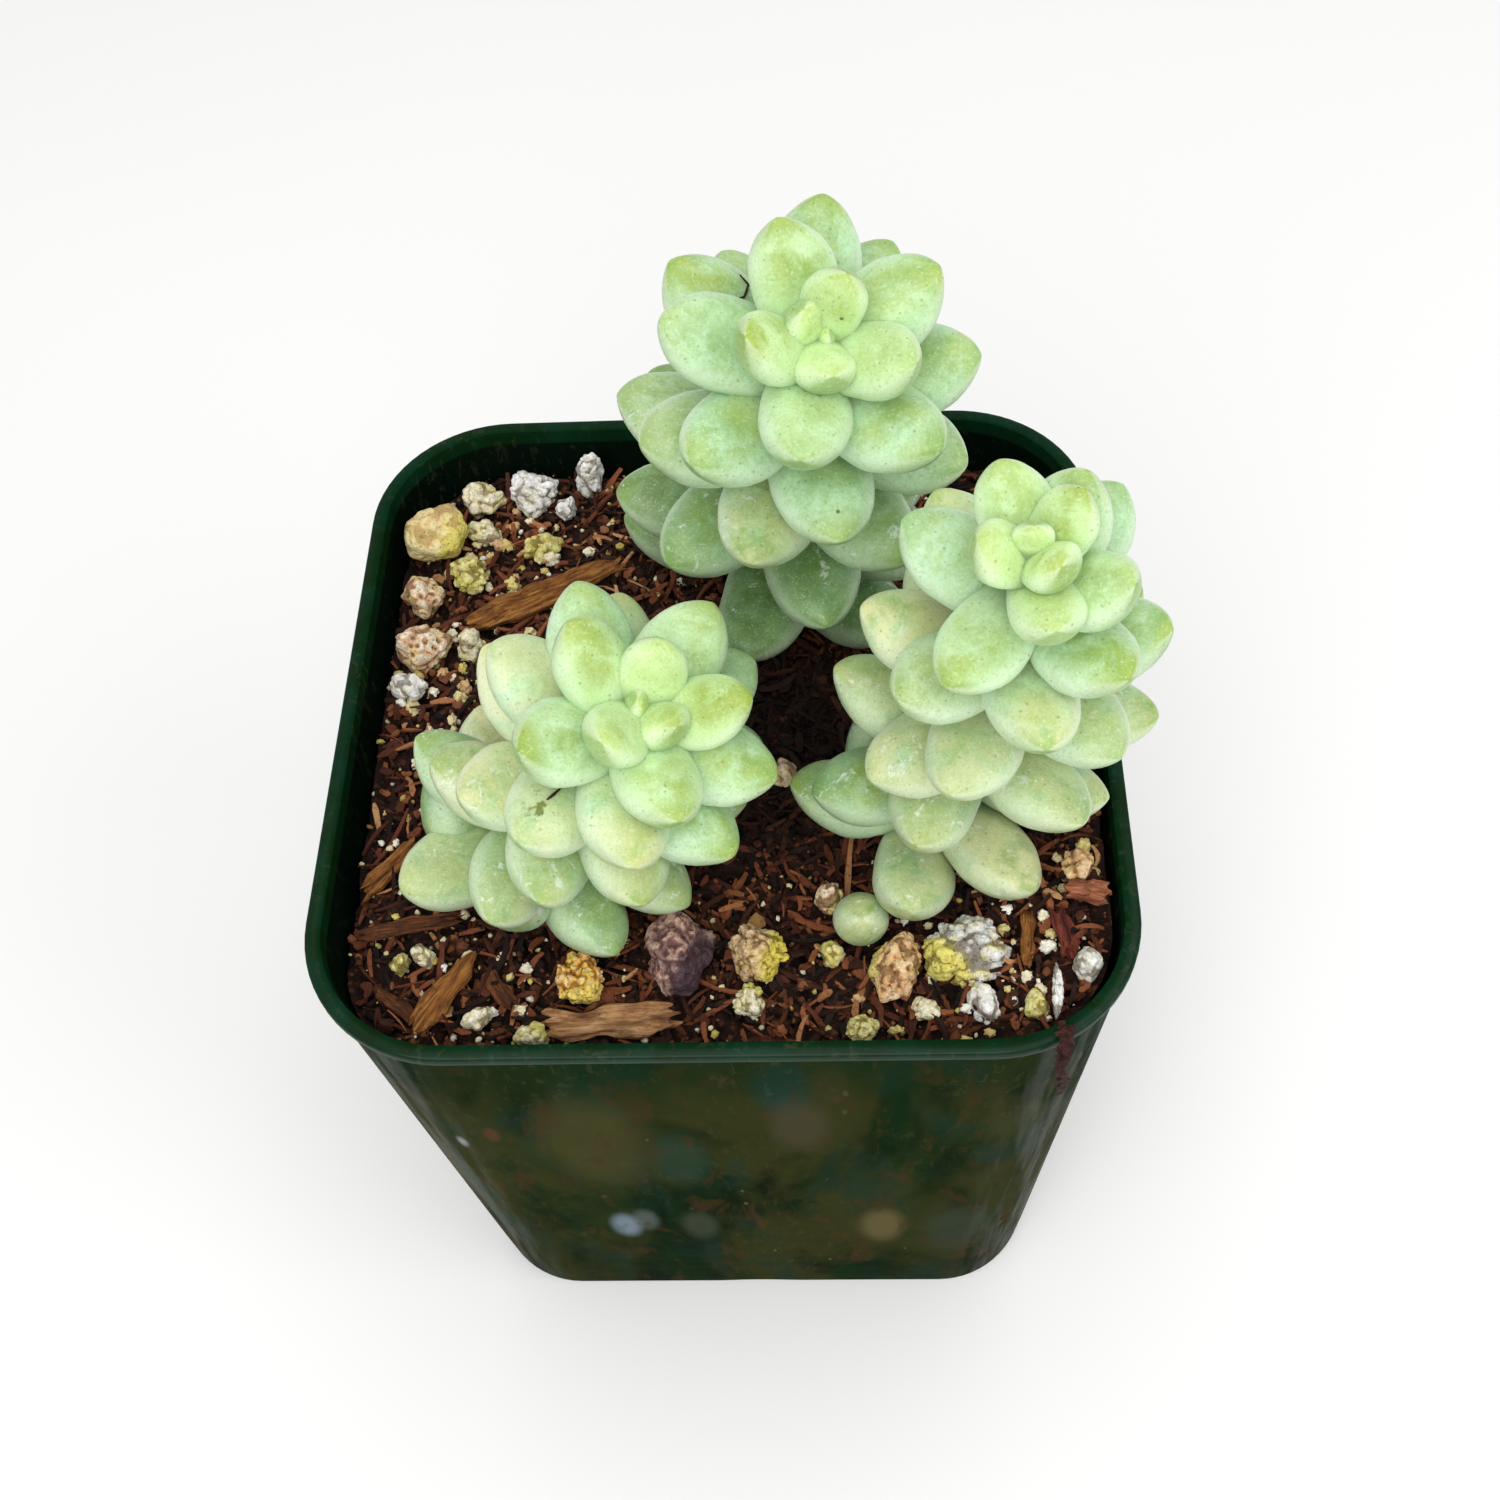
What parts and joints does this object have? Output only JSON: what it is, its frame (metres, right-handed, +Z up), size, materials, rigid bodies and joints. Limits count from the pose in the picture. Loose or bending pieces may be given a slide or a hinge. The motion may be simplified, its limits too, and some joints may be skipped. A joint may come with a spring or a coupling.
{
  "type": "potted sedum",
  "caption": "Small square nursery pot of gritty bark mix with upright rosette stems of plump, pale green succulent leaves",
  "frame": {"origin": "middle of the flat underside of the pot's base, at the resting plane", "axes": "+Z up; -Y towards the viewer, square to the pot side that the picture shows; +X to the viewer's right"},
  "size_m": [0.0644, 0.0653, 0.1081],
  "materials": {
    "pot": "thin dark green moulded plastic, glossy outside, almost black inside",
    "soil": "loose dark red-brown shredded bark mix",
    "leaf": "pale grey-green waxy leaf skin, satin, yellow-green towards the tips",
    "pumice": "rough, knobbly, buff to lemon volcanic stone",
    "perlite": "rough, crumbly, white to cream expanded mineral",
    "lava": "rough purple-brown lava stone",
    "bark": "dry fibrous bark, golden brown to red-brown"
  },
  "bodies": {
    "root": {"pot": "pot", "soil": "soil", "stem_back": "leaf", "stem_front_left": "leaf", "stem_right": "leaf", "leaf_low": "leaf", "pumice_round": "pumice", "pumice_beige": "pumice", "pumice_left": "pumice", "pumice_orange": "pumice", "pumice_ball": "pumice", "pumice_tall": "pumice", "pumice_big": "pumice", "perlite_01": "perlite", "perlite_02": "perlite", "perlite_03": "perlite", "perlite_04": "perlite", "perlite_05": "perlite", "perlite_06": "perlite", "perlite_07": "perlite", "perlite_08": "perlite", "perlite_09": "perlite", "perlite_10": "perlite", "perlite_11": "perlite", "perlite_12": "perlite", "perlite_13": "perlite", "perlite_14": "perlite", "perlite_15": "perlite", "perlite_16": "perlite", "perlite_17": "perlite", "perlite_18": "perlite", "perlite_19": "perlite", "perlite_20": "perlite", "perlite_21": "perlite", "perlite_22": "perlite", "perlite_23": "perlite", "lava_rock": "lava", "bark_long": "bark", "bark_front": "bark", "bark_slant": "bark", "bark_left": "bark", "bark_flat": "bark", "bark_corner": "bark", "bark_stub": "bark", "bark_red": "bark", "bark_pink": "bark", "bark_tan": "bark", "bark_shred": "bark"}
  },
  "joints": []
}
